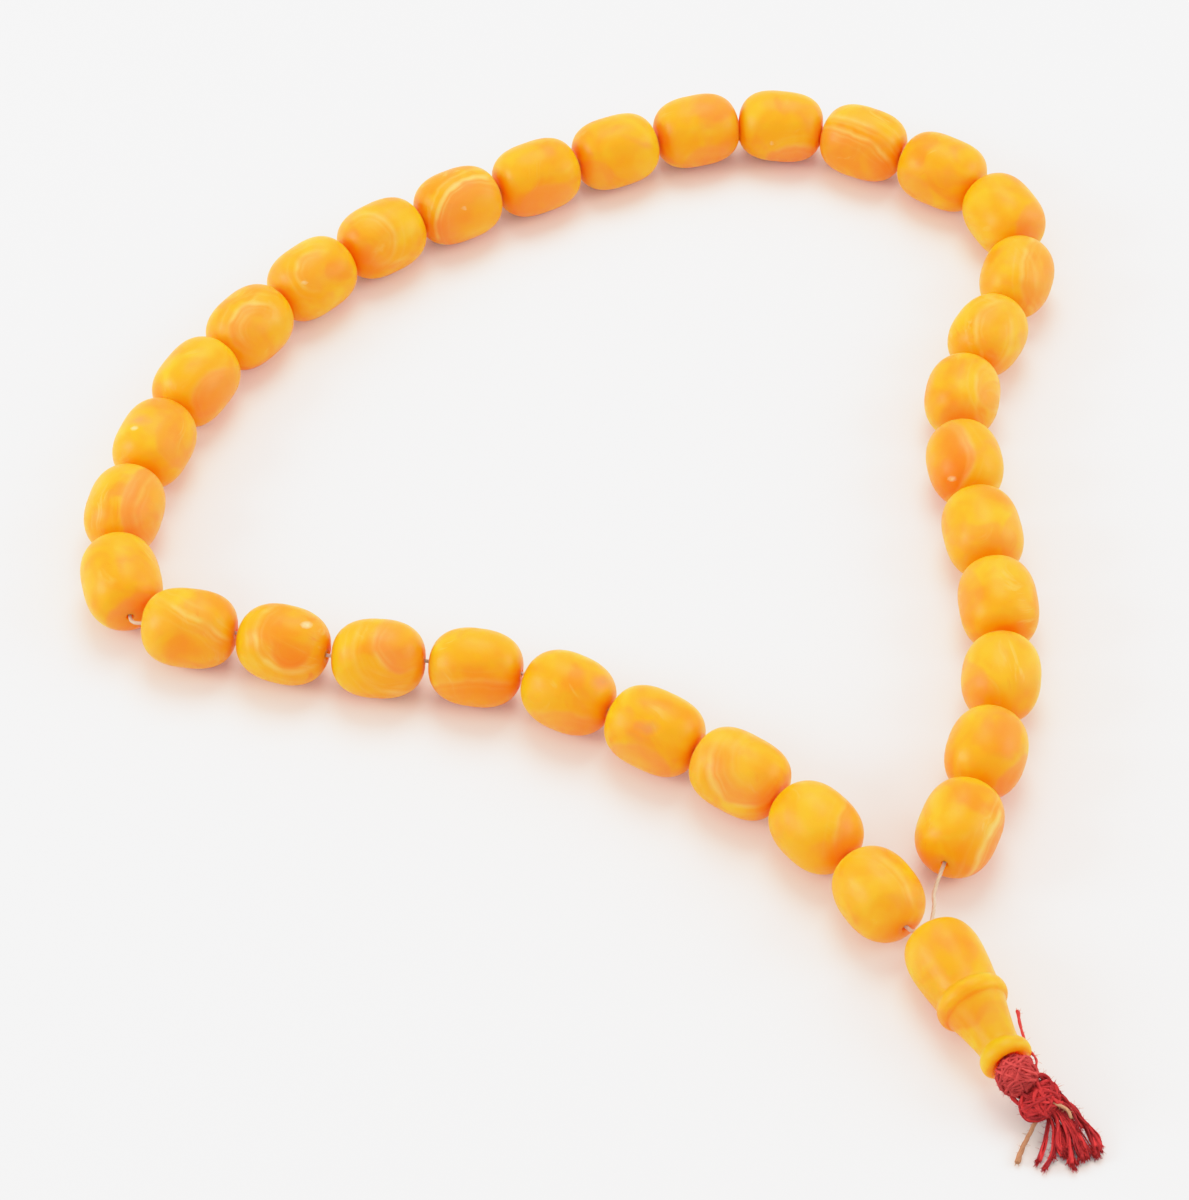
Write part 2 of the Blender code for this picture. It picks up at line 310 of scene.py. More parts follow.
# The sizes of the marbling's parts, as the scale of a noise over millimetres
FLOW_SCALE = 0.10
CLOUD_SCALE = 0.13
PEACH_SCALE = 0.15
STREAK_SCALE = 0.75
STREAK_PLACES_SCALE = 0.12
SEAM_SCALE = 0.22
WEAR_SCALE = 0.9
DENT_SCALE = 2.2
# How far light travels under the surface, and each colour's share of that
SCATTER_LENGTH = 9.0 * MM
SCATTER_SHARES = (1.0, 0.28, 0.05)


def resin_material():
    """Marbled butterscotch resin. It reads these attributes of the mesh, all in millimetres:
    resin_space, the piece's own coordinates at a random place in the marbling; seam_a and seam_b,
    the distance to a curved sheet of different resin and how strong its tint and its line are; and
    spots, the distances to a small pale chip and to a violet patch. The violet patch is a stain on
    most beads, and on bead 1 painted shade round the mouth of the bore.
    """
    material, shader, tree = new_material("marbled_resin", RESIN_YELLOW, 0.36)
    space = attribute(tree, "resin_space").outputs["Vector"]

    # The stirred flow: coordinates bent by a slow noise
    slow = noise_node(tree, space, FLOW_SCALE, 1.0)
    bend = add_node(tree, "ShaderNodeVectorMath", operation="MULTIPLY_ADD")
    tree.links.new(slow.outputs["Color"], bend.inputs[0])
    bend.inputs[1].default_value = (FLOW_BEND, FLOW_BEND, FLOW_BEND)
    tree.links.new(space, bend.inputs[2])
    flow = bend.outputs[0]

    clouds = noise_node(tree, flow, CLOUD_SCALE, 2.0)
    cloud_stops = [(0.32, RESIN_ORANGE), (0.50, RESIN_YELLOW), (0.70, RESIN_LIGHT)]
    colour = ramp(tree, clouds.outputs["Fac"], cloud_stops)
    peach_noise = noise_node(tree, stretched(tree, flow, (1.0, 0.6, 1.0)), PEACH_SCALE, 2.0)
    peach = ramp(tree, peach_noise.outputs["Fac"], [(0.53, 0.0), (0.72, 0.5)])
    colour = mix_colour(tree, peach, colour, RESIN_PEACH)

    # Fine drawn-out streaks that run with the flow, in some places only
    streak_space = stretched(tree, flow, (0.10, 1.0, 0.35))
    streak_noise = noise_node(tree, streak_space, STREAK_SCALE, 3.0, 0.6)
    streaks = ramp(tree, streak_noise.outputs["Fac"], [(0.55, 0.0), (0.70, 0.45)])
    place_noise = noise_node(tree, space, STREAK_PLACES_SCALE, 1.0)
    places = ramp(tree, place_noise.outputs["Fac"], [(0.50, 0.0), (0.66, 1.0)])
    streaks = math_node(tree, "MULTIPLY", streaks, places)
    colour = mix_colour(tree, streaks, colour, RESIN_CREAM)
    veins = ramp(tree, streak_noise.outputs["Fac"], [(0.30, 0.5), (0.42, 0.0)])
    veins = math_node(tree, "MULTIPLY", veins, places)
    colour = mix_colour(tree, veins, colour, RESIN_DEEP)

    # Two seams for each piece, where one pour of resin meets the next: a tint that is
    # strongest at the seam, a soft pale line that comes and goes, and echoes of it on both sides
    wander = noise_node(tree, space, SEAM_SCALE, 2.0)
    offset = math_node(tree, "MULTIPLY_ADD", wander.outputs["Fac"], SEAM_WANDER, -SEAM_WANDER / 2)
    faint_noise = noise_node(tree, space, SEAM_SCALE, 1.0)
    faint = ramp(tree, faint_noise.outputs["Fac"], [(0.36, 0.25), (0.58, 1.0)])
    for name, tint in (("seam_a", RESIN_PEACH), ("seam_b", RESIN_OCHRE)):
        seam = add_node(tree, "ShaderNodeSeparateXYZ")
        tree.links.new(attribute(tree, name).outputs["Vector"], seam.inputs[0])
        distance = math_node(tree, "ADD", seam.outputs[0], offset)
        spread = math_node(tree, "MULTIPLY_ADD", distance, 0.125, 0.75, clamp=True)
        inside = ramp(tree, spread, [(0.10, 0.35), (0.62, 1.0), (0.71, 1.0), (0.80, 0.0)])
        colour = mix_colour(tree, math_node(tree, "MULTIPLY", inside, seam.outputs[1]), colour, tint)
        near = math_node(tree, "ABSOLUTE", distance)
        line = math_node(tree, "MULTIPLY_ADD", near, -1.7, 1.0, clamp=True)
        echo = math_node(tree, "SINE", math_node(tree, "MULTIPLY", distance, 5.2))
        echo = math_node(tree, "MULTIPLY_ADD", echo, 0.5, 0.0, clamp=True)
        echo_fade = math_node(tree, "MULTIPLY_ADD", near, -0.35, 1.0, clamp=True)
        echo = math_node(tree, "MULTIPLY", echo, echo_fade)
        line = math_node(tree, "MULTIPLY", math_node(tree, "MAXIMUM", line, echo), faint)
        line = math_node(tree, "MULTIPLY", line, seam.outputs[2])
        line = math_node(tree, "MULTIPLY", line, 0.75, clamp=True)
        colour = mix_colour(tree, line, colour, RESIN_CREAM)

    # The violet patch (a stain, and on bead 1 painted shade round the mouth of the bore) and the pale chip
    spots = add_node(tree, "ShaderNodeSeparateXYZ")
    tree.links.new(attribute(tree, "spots").outputs["Vector"], spots.inputs[0])
    stain_and_bore_shade = math_node(tree, "MULTIPLY_ADD", offset, 0.5, spots.outputs[1])
    stain_and_bore_shade = math_node(tree, "MULTIPLY_ADD", stain_and_bore_shade, -0.75, 1.0, clamp=True)
    colour = mix_colour(tree, math_node(tree, "MULTIPLY", stain_and_bore_shade, 0.6), colour, RESIN_VIOLET)
    chip = math_node(tree, "MULTIPLY_ADD", spots.outputs[0], -1.6, 1.0, clamp=True)
    colour = mix_colour(tree, math_node(tree, "MULTIPLY", chip, 0.8), colour, RESIN_CHIP)
    tree.links.new(colour, shader.inputs["Base Color"])

    # Worn polish: slightly rougher clouds, small dents and rough chips
    wear = noise_node(tree, space, WEAR_SCALE, 4.0, 0.65)
    roughness = ramp(tree, wear.outputs["Fac"], [(0.30, 0.34), (0.70, 0.46)])
    roughness = math_node(tree, "ADD", roughness, math_node(tree, "MULTIPLY", chip, 0.3))
    tree.links.new(roughness, shader.inputs["Roughness"])
    dents = noise_node(tree, space, DENT_SCALE, 3.0)
    height = math_node(tree, "SUBTRACT", dents.outputs["Fac"], math_node(tree, "MULTIPLY", chip, 2.0))
    bump = add_node(tree, "ShaderNodeBump", Strength=0.14, Distance=0.12 * MM)
    tree.links.new(height, bump.inputs["Height"])
    tree.links.new(bump.outputs["Normal"], shader.inputs["Normal"])

    shader.inputs["Subsurface Weight"].default_value = 1.0
    shader.inputs["Subsurface Radius"].default_value = SCATTER_SHARES
    shader.inputs["Subsurface Scale"].default_value = SCATTER_LENGTH
    shader.inputs["IOR"].default_value = 1.5
    shader.inputs["Specular IOR Level"].default_value = 0.18
    return material


def write_attribute(piece, name, values):
    """Stores one number, or one vector, for each vertex of a mesh."""
    is_vector = not isinstance(values[0], float)
    layer = piece.data.attributes.new(name, "FLOAT_VECTOR" if is_vector else "FLOAT", "POINT")
    if is_vector:
        layer.data.foreach_set("vector", [part for value in values for part in value])
    else:
        layer.data.foreach_set("value", values)


def add_marbling(piece, seed, marks, to_view):
    """Writes the attributes that the resin reads. to_view turns the piece's own coordinates into
    the picture's right, up and towards, in which the marks lie."""
    chance = random.Random(seed)
    roll = Matrix.Rotation(chance.uniform(0, math.tau), 3, "X")
    turn = roll @ Matrix.Rotation(chance.uniform(0, 1.2), 3, "Y")
    shift = Vector((chance.uniform(-90, 90), chance.uniform(-90, 90), chance.uniform(-90, 90)))
    own = [vertex.co / MM for vertex in piece.data.vertices]
    seen = [to_view @ point for point in own]
    write_attribute(piece, "resin_space", [turn @ point + shift for point in own])
    for name in ("seam_a", "seam_b"):
        right, up, radius, facing, tint, line = marks.get(name, NO_SEAM)
        middle = Vector((right, up))
        way = Vector((math.cos(math.radians(facing)), math.sin(math.radians(facing))))
        values = []
        for point in seen:
            reach = point.xy - middle
            share = min(max(SEAM_SHARE + SEAM_FACING * reach.dot(way) / radius, 0.0), 1.0)
            values.append(Vector((reach.length - radius, tint * share, line * share)))
        write_attribute(piece, name, values)
    spots = []
    for point in seen:
        behind = 0.0 if point.z > SPOT_DEPTH else FAR_AWAY
        distances = []
        # The violet patch is a stain, and on bead 1 painted shade round the mouth of the bore
        for name in ("nick", "stain_and_bore_shade"):
            right, up, worn = marks.get(name, (0.0, FAR_AWAY, 0.0))
            distances.append(math.hypot((point.x - right) * SPOT_ACROSS, point.y - up) + worn + behind)
        spots.append(Vector((*distances, 0.0)))
    write_attribute(piece, "spots", spots)


# Turned pieces: beads and imame

BEAD_LENGTH = 14.0 * MM
BEAD_DIAMETER = 11.8 * MM
BEAD_END_TRIM = 0.1 * MM
BEAD_SIDES = 72
BORE_RADIUS = 0.52 * MM
BORE_EDGE = 0.22 * MM
# The beads that come nearest to each other as the loop widens and narrows
CLOSE_BEADS = (1, 2, 5, 6, 7, 8, 25, 26, 27, 28, 31, 32)
CLOSE_LENGTH = BEAD_LENGTH * 0.992
CLOSE_DIAMETER_SHARE = 0.99
CLOSE_ROUNDNESS = 2.45
# The range of the other beads' lengths, and of all beads' diameters, as shares of the usual ones
LENGTH_RANGE = (1.004, 1.018)
DIAMETER_RANGE = (0.99, 1.01)
ROUNDNESS_RANGE = (2.65, 2.95)
# How far, as a share, and over what length a bead departs from round
WOBBLE_SHARE = 0.012
WOBBLE_LENGTH = 7.0 * MM
# The angles at which a bead's side and its bore's edge are drawn, in degrees
SIDE_DEGREES = (12, 16, 20, 25, 30, 35, 40, 45, 50, 55, 60, 65, 70, 75, 80, 86)
EDGE_DEGREES = (0, 25, 50, 75, 100)

FAR_AWAY = 50.0
NO_SEAM = (0.0, -60.0, 40.0, 90.0, 0.0, 0.0)
# A seam's share at right angles to its facing side, and how that share grows towards it
SEAM_SHARE = 0.45
SEAM_FACING = 0.9
# Spots show only on points nearer to the camera than this. They are wider than they are high,
# because distances across the picture count for less.
SPOT_DEPTH = -1.5
SPOT_ACROSS = 0.6

# Marbling seen on each bead, in the picture's plane and in millimetres from the bead's centre.
# A seam is part of a circle: (right, up, radius, the side of the circle where it is strongest in
# degrees, how strong its tint is, how strong its pale line is). seam_a is tinted peach and seam_b
# ochre. nick and the violet patch are (right, up, how worn away it is); the violet patch is a
# stain, and on bead 1 painted shade round the mouth of its bore. length is what is added at the end
# by the bead before.
MARBLING = {
    # Bead 1's violet patch is painted shade round the mouth of its bore
    1: dict(
        seam_a=(-4.0, -2.0, 8.4, 10, 0.2, 0.5), seam_b=(7.0, 1.0, 3.0, 190, 0.3, 0.0), stain_and_bore_shade=(4.2, -4.6, 0.0),
    ),
    2: dict(seam_a=(8.5, -1.0, 6.4, 170, 0.5, 0.35), seam_b=(9.0, -0.5, 6.2, 170, 0.4, 0.0)),
    3: dict(seam_a=(0.8, 1.2, 5.6, 235, 0.8, 0.9), seam_b=(2.5, 2.0, 4.0, 150, 0.0, 0.3)),
    4: dict(seam_a=(-4.0, -8.0, 6.5, 60, 0.7, 0.1), stain_and_bore_shade=(-1.4, 0.7, 0.0)),
    5: dict(seam_a=(-2.0, -20.0, 17.2, 80, 0.6, 0.3), stain_and_bore_shade=(4.9, 1.7, 0.0)),
    6: dict(seam_b=(0.0, -31.8, 30.0, 90, 0.7, 0.4)),
    7: dict(seam_a=(3.6, 2.2, 4.1, 205, 1.0, 0.7), seam_b=(3.4, 1.6, 6.6, 240, 0.1, 1.1)),
    8: dict(
        seam_a=(1.7, 1.4, 5.4, 225, 0.3, 1.2), seam_b=(1.4, -0.6, 2.8, 260, 1.0, 0.3), nick=(3.7, 2.9, 0.0),
    ),
    9: dict(seam_a=(-13.9, -24.2, 30.0, 63, 0.25, 1.0)),
    10: dict(seam_a=(3.5, -7.0, 5.0, 110, 0.7, 0.0), length=0.7),
    11: dict(seam_a=(9.5, 0.0, 9.3, 180, 0.9, 0.4), seam_b=(10.5, -0.5, 8.2, 190, 0.0, 0.5)),
    12: dict(seam_a=(6.5, 0.5, 5.5, 200, 0.4, 0.1), nick=(-2.5, 2.1, 0.16), stain_and_bore_shade=(-1.9, 3.4, 0.0)),
    13: dict(seam_a=(5.0, -3.0, 5.0, 150, 0.6, 0.2)),
    14: dict(seam_a=(1.7, -0.6, 4.2, 150, 0.7, 1.1), seam_b=(1.7, -0.8, 2.7, 150, 0.1, 0.6)),
    15: dict(seam_a=(1.2, 0.8, 3.2, 170, 0.5, 1.0), nick=(-0.7, -1.2, 0.22)),
    16: dict(seam_a=(-2.0, -1.0, 4.5, 40, 0.3, 0.7)),
    17: dict(seam_a=(4.5, -3.5, 7.8, 155, 0.9, 1.7), nick=(1.2, -1.1, 0.2)),
    18: dict(seam_a=(3.0, -7.0, 5.5, 110, 0.6, 0.1)),
    19: dict(seam_a=(-4.0, -6.0, 4.0, 60, 0.4, 0.0)),
    20: dict(seam_a=(3.0, -9.0, 6.0, 100, 0.5, 0.1)),
    21: dict(seam_a=(3.0, -12.5, 8.8, 95, 0.9, 0.5), nick=(-1.3, -3.4, 0.12)),
    22: dict(seam_a=(-9.0, -14.0, 16.5, 60, 0.4, 1.1), seam_b=(-9.0, -15.0, 19.5, 60, 0.2, 1.0)),
    23: dict(seam_a=(-6.0, -5.0, 4.0, 30, 0.4, 0.0)),
    24: dict(seam_a=(6.5, -3.0, 5.0, 160, 0.6, 0.2)),
    25: dict(seam_a=(8.6, 0.0, 8.6, 180, 0.5, 0.9), seam_b=(-6.0, -1.0, 8.5, 10, 0.0, 0.4)),
    26: dict(seam_a=(2.0, 0.5, 4.6, 150, 0.3, 0.9), seam_b=(-4.0, 0.0, 7.4, 20, 0.0, 0.5)),
    27: dict(seam_a=(5.5, 1.5, 4.0, 210, 0.5, 0.9), seam_b=(7.0, -2.5, 5.4, 170, 0.3, 0.4)),
    28: dict(
        seam_a=(-5.5, 1.0, 6.4, 330, 1.0, 0.5), seam_b=(-6.5, 0.0, 6.2, 330, 1.1, 0.0), nick=(-2.5, -2.6, 0.12),
    ),
    29: dict(seam_a=(6.5, -1.0, 4.5, 180, 0.5, 0.0)),
    30: dict(seam_a=(-7.0, 2.0, 4.0, 0, 0.4, 0.0)),
    31: dict(seam_a=(-6.5, -1.0, 4.0, 20, 0.5, 0.0)),
    32: dict(seam_a=(9.0, -8.0, 8.6, 140, 0.9, 0.2), seam_b=(9.5, -8.5, 8.2, 140, 0.5, 0.0)),
    33: dict(seam_a=(29.4, -16.0, 30.0, 152, 0.8, 1.5), seam_b=(30.2, -16.4, 30.0, 152, 0.8, 0.0)),
}


def turned(name, profile, sides, material):
    """A closed turned mesh around +X from a closed profile of (x, radius) points."""
    shape = bmesh.new()
    rings = []
    for x, radius in profile:
        ring = []
        for k in range(sides):
            angle = math.tau * k / sides
            ring.append(shape.verts.new((x, radius * math.cos(angle), radius * math.sin(angle))))
        rings.append(ring)
    for i, near in enumerate(rings):
        far = rings[(i + 1) % len(rings)]
        for k in range(sides):
            after = (k + 1) % sides
            shape.faces.new((near[k], far[k], far[after], near[after]))
    bmesh.ops.recalc_face_normals(shape, faces=shape.faces)
    mesh = mesh_from(shape, name, material)
    mesh.shade_smooth()
    return new_object(name, mesh)


def bead_profile(length, diameter, roundness):
    """A superellipse barrel, drilled through, with a rounded edge at each end of the bore."""
    power = 2.0 / roundness
    trim = length / 2 - BEAD_END_TRIM
    outer = []
    for degrees in SIDE_DEGREES:
        angle = math.radians(degrees)
        x = length / 2 * math.cos(angle) ** power
        outer.append((min(x, trim), diameter / 2 * math.sin(angle) ** power))
    edge = []
    for degrees in EDGE_DEGREES:
        angle = math.radians(degrees)
        x = trim - BORE_EDGE + BORE_EDGE * math.cos(angle)
        edge.append((x, BORE_RADIUS + BORE_EDGE * (1 - math.sin(angle))))
    side = [point for point in outer if point[1] > edge[0][1]]
    half = side[::-1] + edge + [(trim * 0.6, BORE_RADIUS)]
    return half + [(-x, radius) for x, radius in reversed(half)]


def add_beads(material):
    for number in range(1, BEAD_COUNT + 1):
        chance = random.Random(BEAD_SHAPE_SEED + number)
        marks = MARBLING[number]
        added = marks.get("length", 0.0) * MM
        length = BEAD_LENGTH * chance.uniform(*LENGTH_RANGE) + added
        diameter = BEAD_DIAMETER * chance.uniform(*DIAMETER_RANGE)
        roundness = chance.uniform(*ROUNDNESS_RANGE)
        if number in CLOSE_BEADS:
            length = CLOSE_LENGTH
            diameter = min(diameter, BEAD_DIAMETER) * CLOSE_DIAMETER_SHARE
            roundness = CLOSE_ROUNDNESS
        profile = bead_profile(length, diameter, roundness)
        name = f"resin_bead_{number:02d}"
        piece = turned(name, profile, BEAD_SIDES, material)
        centre, along = bead_place(number)
        own_place = Vector((number * 3.7, 0.0, 0.0))
        for vertex in piece.data.vertices:
            wobble = 1.0 + WOBBLE_SHARE * noise.noise(vertex.co / WOBBLE_LENGTH + own_place)
            vertex.co.y *= wobble
            vertex.co.z *= wobble
        heading = heading_of(along)
        add_marbling(piece, BEAD_RESIN_SEED + number, marks, VIEW_AXES @ heading)
        piece.matrix_world = Matrix.Translation(centre - along * (added / 2)) @ heading.to_4x4()
        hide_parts(f"bead_{number:02d}")
        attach(piece, f"bead_{number:02d}")


# The imame's profile as (distance from the mouth, radius) in millimetres, from the mouth to the lip.
IMAME_SIDES = 88
IMAME_BARREL = [
    (0.0, 1.95), (0.12, 2.55), (0.55, 3.45), (1.3, 4.35), (2.5, 5.0),
    (4.2, 5.36), (6.2, 5.36), (8.4, 5.16), (10.4, 4.88), (11.8, 4.74),
]
IMAME_COLLAR = [
    (11.8, 4.74), (12.15, 4.94), (12.6, 5.14), (13.2, 5.2), (13.8, 5.1), (14.25, 4.8), (14.5, 4.4),
]
IMAME_WAIST = [(14.5, 4.4), (15.2, 4.15), (17.0, 3.7), (19.0, 3.25), (20.6, 2.95), (21.3, 2.92)]
IMAME_LIP = [
    (21.3, 2.92), (21.7, 3.22), (22.3, 3.6), (23.0, 3.7), (23.6, 3.6), (23.92, 3.2), (24.0, 2.7),
]
IMAME_BORE = [(23.95, 2.35), (23.6, 1.9), (23.25, 0.7), (1.3, 0.7), (0.6, 1.0), (0.1, 1.6)]
IMAME_MARKS = dict(seam_a=(1.6, -13.2, 3.6, 170, 0.5, 0.0), seam_b=(2.4, -8.2, 4.2, 260, 0.6, 0.0))


def smooth_through(points, steps):
    """Points of a smooth curve (Catmull-Rom) through the given ones."""
    knots = [Vector(point) for point in points]
    result = []
    for i in range(len(knots) - 1):
        before, start = knots[max(i - 1, 0)], knots[i]
        end, after = knots[i + 1], knots[min(i + 2, len(knots) - 1)]
        for k in range(steps):
            t = k / steps
            result.append(
                0.5
                * (
                    2 * start
                    + (end - before) * t
                    + (2 * before - 5 * start + 4 * end - after) * t**2
                    + (3 * start - before - 3 * end + after) * t**3
                )
            )
    return result + [knots[-1]]


def add_imame(material):
    mouth, along = imame_place()
    outline = []
    for section in (IMAME_BARREL, IMAME_COLLAR, IMAME_WAIST, IMAME_LIP):
        outline.extend(smooth_through(section, 3)[:-1])
    outline.append(Vector(IMAME_LIP[-1]))
    profile = [(x * MM, radius * MM) for x, radius in outline]
    profile += [(x * MM, radius * MM) for x, radius in IMAME_BORE]
    piece = turned("resin_imame", profile, IMAME_SIDES, material)
    heading = heading_of(along)
    add_marbling(piece, IMAME_RESIN_SEED, IMAME_MARKS, VIEW_AXES @ heading)
    piece.matrix_world = Matrix.Translation(mouth) @ heading.to_4x4()
    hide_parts("imame")
    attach(piece, "imame")


# Thread and yarn

FIBRE_PITCH = 1.5 * MM
HAIR_RADIUS = 0.035 * MM
FRAYED_RADIUS = 0.05 * MM
HAIR_PARTS = 4
HAIR_SIDES = 3


class Strands:
    """Gathers twisted ropes and loose fibres into one mesh. fibre holds, for each vertex, how far
    along its rope it is, its angle round the rope and a number of its own for the rope."""

    def __init__(self, seed):
        self.chance = random.Random(seed)
        self.points = []
        self.faces = []
        self.fibre = []
        self.paths = []

    def rope(
        self, route, radius, plies=3, sides=15, step=0.3 * MM, swell=0.0, depth=0.28, lay=FIBRE_PITCH
    ):
        """A rope of twisted plies along a smooth route. swell thickens its far end, depth is how
        deep the grooves between the plies are, and lay is the length of a twist."""
        path = even_path(route, step)
        shade = self.chance.uniform(0.0, 100.0)
        first_turn = self.chance.uniform(0.0, math.tau)
        start = len(self.points)
        across = path_sides(path)
        travelled = 0.0
        for i, spot in enumerate(path):
            if i:
                travelled += (spot - path[i - 1]).length
            part = i / (len(path) - 1)
            ease = 0.82 if i in (0, len(path) - 1) else 1.0
            size = radius * ease * (1.0 + swell * part**4)
            side, up = across[i]
            for k in range(sides):
                angle = math.tau * k / sides
                ply = angle * plies / 2 - math.pi * travelled / lay * plies / 3 + first_turn
                reach = size * (1.0 - depth * (1.0 - abs(math.sin(ply))))
                self.add_point(spot, side, up, reach, angle)
                self.fibre.append((travelled / MM, ply, shade))
        self.add_skin(start, len(path), sides)
        self.paths.append((path, radius))
        return path

    def add_point(self, spot, side, up, reach, angle):
        self.points.append(spot + side * (reach * math.cos(angle)) + up * (reach * math.sin(angle)))

    def add_skin(self, start, rings, sides):
        """The faces of a closed tube through rings of points, the first of which is start."""
        for i in range(rings - 1):
            near, far = start + i * sides, start + (i + 1) * sides
            for k in range(sides):
                after = (k + 1) % sides
                self.faces.append((near + k, near + after, far + after, far + k))
        last = start + (rings - 1) * sides
        self.faces.append(tuple(start + k for k in reversed(range(sides))))
        self.faces.append(tuple(last + k for k in range(sides)))

    def hair(self, root, way, length, radius=HAIR_RADIUS):
        """One loose, curling fibre."""
        curl = random_way(self.chance) * (length * self.chance.uniform(0.1, 0.5))
        path = []
        for k in range(HAIR_PARTS + 1):
            part = k / HAIR_PARTS
            path.append(root + way * (length * part) + curl * part**2)
        shade = self.chance.uniform(0.0, 100.0)
        start = len(self.points)
        for i, (spot, (side, up)) in enumerate(zip(path, path_sides(path))):
            size = radius * (1.0 - 0.6 * i / HAIR_PARTS)
            for k in range(HAIR_SIDES):
                angle = math.tau * k / HAIR_SIDES
                self.add_point(spot, side, up, size, angle)
                self.fibre.append((length * i / HAIR_PARTS / MM, angle, shade))
        self.add_skin(start, len(path), HAIR_SIDES)

    def fuzz(self, count, shortest, longest, floor=0.08 * MM):
        """Loose fibres standing off every rope made so far. None reaches under the floor."""
        for _ in range(count):
            path, radius = self.chance.choice(self.paths)
            i = self.chance.randrange(len(path) - 1)
            along = (path[i + 1] - path[i]).normalized()
            outwards = random_way(self.chance)
            outwards = (outwards - along * outwards.dot(along)).normalized()
            way = (outwards + along * self.chance.uniform(-1.2, 1.2)).normalized()
            way.z = abs(way.z) * 0.6
            root = path[i] + outwards * radius * 0.8
            if root.z > floor:
                self.hair(root, way, self.chance.uniform(shortest, longest))

    def frayed_end(self, path, radius, count, length):
        """Fibres that splay out of the far end of a rope."""
        way = (path[-1] - path[-3]).normalized()
        for _ in range(count):
            aside = random_way(self.chance)
            root = path[-1] + aside * (radius * 0.6) - way * (0.3 * MM)
            root.z = max(root.z, 0.1 * MM)
            spread = (way + aside * 0.35).normalized()
            spread.z = max(spread.z, 0.0)
            self.hair(root, spread, length * self.chance.uniform(0.5, 1.0), FRAYED_RADIUS)

    def finish(self, name, material):
        mesh = bpy.data.meshes.new(name)
        mesh.from_pydata(self.points, [], self.faces)
        mesh.materials.append(material)
        mesh.shade_smooth()
        piece = new_object(name, mesh)
        write_attribute(piece, "fibre", [Vector(values) for values in self.fibre])
        return piece


def random_way(chance):
    while True:
        way = Vector((chance.uniform(-1, 1), chance.uniform(-1, 1), chance.uniform(-1, 1)))
        if 0.1 < way.length < 1.0:
            return way.normalized()


def even_path(route, step):
    """The smooth curve through a route, at even steps."""
    dense = smooth_through(route, 24)
    lengths = [0.0]
    for before, after in zip(dense, dense[1:]):
        lengths.append(lengths[-1] + (after - before).length)
    count = max(3, round(lengths[-1] / step))
    path, i = [], 0
    for k in range(count + 1):
        goal = lengths[-1] * k / count
        while i < len(dense) - 2 and lengths[i + 1] < goal:
            i += 1
        span = lengths[i + 1] - lengths[i]
        path.append(dense[i].lerp(dense[i + 1], (goal - lengths[i]) / span if span else 0.0))
    return path


def path_sides(path):
    """Two directions across the path at each of its points, without needless twist."""
    result, side = [], None
    for i in range(len(path)):
        along = (path[min(i + 1, len(path) - 1)] - path[max(i - 1, 0)]).normalized()
        if side is None:
            side = along.orthogonal()
        side = (side - along * side.dot(along)).normalized()
        result.append((side, along.cross(side)))
    return result


def fibre_material(name, dark, light, roughness, sheen):
    """Twisted fibres: streaks along each ply, and a shade of its own for each rope."""
    material, shader, tree = new_material(name, light, roughness)
    fibre = attribute(tree, "fibre").outputs["Vector"]
    streaks = noise_node(tree, stretched(tree, fibre, (0.55, 1.6, 1.0)), 1.7, 3.0, 0.6)
    shades = noise_node(tree, stretched(tree, fibre, (0.06, 0.0, 1.0)), 1.0, 1.0)
    both = math_node(tree, "MULTIPLY_ADD", streaks.outputs["Fac"], 0.55, -0.275)
    both = math_node(tree, "ADD", both, shades.outputs["Fac"])
    colour = ramp(tree, both, [(0.30, dark), (0.68, light)], "LINEAR")
    tree.links.new(colour, shader.inputs["Base Color"])
    height = noise_node(tree, stretched(tree, fibre, (0.8, 4.0, 1.0)), 2.4, 2.0)
    bump = add_node(tree, "ShaderNodeBump", Strength=0.5, Distance=0.08 * MM)
    tree.links.new(height.outputs["Fac"], bump.inputs["Height"])
    tree.links.new(bump.outputs["Normal"], shader.inputs["Normal"])
    shader.inputs["Sheen Weight"].default_value = sheen
    shader.inputs["Sheen Roughness"].default_value = 0.4
    shader.inputs["Sheen Tint"].default_value = (*light, 1.0)
    shader.inputs["Specular IOR Level"].default_value = 0.25
    return material


THREAD_RADIUS = 0.29 * MM
THREAD_LAY = 1.3 * MM
# From a bead's centre to the middle of the gap after it
BEAD_HALF_GAP_REACH = 7.22 * MM
# How far from a hinge the thread bends, and how far inside the corner it passes
BEND_REACH = 1.4 * MM
BEND_CUT = 0.2 * MM

# Both ends of the thread at the imame, as (distance from its mouth, offset to its left, height).
FIRST_END_ROUTE = [
    (0.6, -0.3, 5.4), (-0.25, -0.5, 5.4), (-0.8, -2.25, 5.7), (-1.6, -2.65, 5.85), (-2.6, -2.95, 5.9),
]
LAST_END_ROUTE = [
    (-5.55, 3.6, 5.8), (-3.6, 2.6, 5.7), (-2.0, 1.55, 5.55), (-0.6, 0.55, 5.4), (0.6, 0.3, 5.4),
]
# The two plies inside the imame cross on their way: (distance from the mouth, side)
PAIR_ROUTE = [(1.0, 1), (12.0, -1), (22.6, 1)]
PAIR_ASIDE = 0.32


def imame_point(along_mm, aside_mm=0.0, height_mm=None):
    """A point given by its distance from the imame's mouth and its offset to the imame's left."""
    mouth, along = imame_place()
    across = Vector((-along.y, along.x, 0.0))
    spot = mouth + along * (along_mm * MM) + across * (aside_mm * MM)
    if height_mm is not None:
        spot.z = height_mm * MM
    return spot


def add_cord(name, route, material, nodes, seed):
    strands = Strands(seed)
    strands.rope(route, THREAD_RADIUS, depth=0.22, lay=THREAD_LAY)
    piece = strands.finish(name, material)
    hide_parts(*nodes)
    return piece


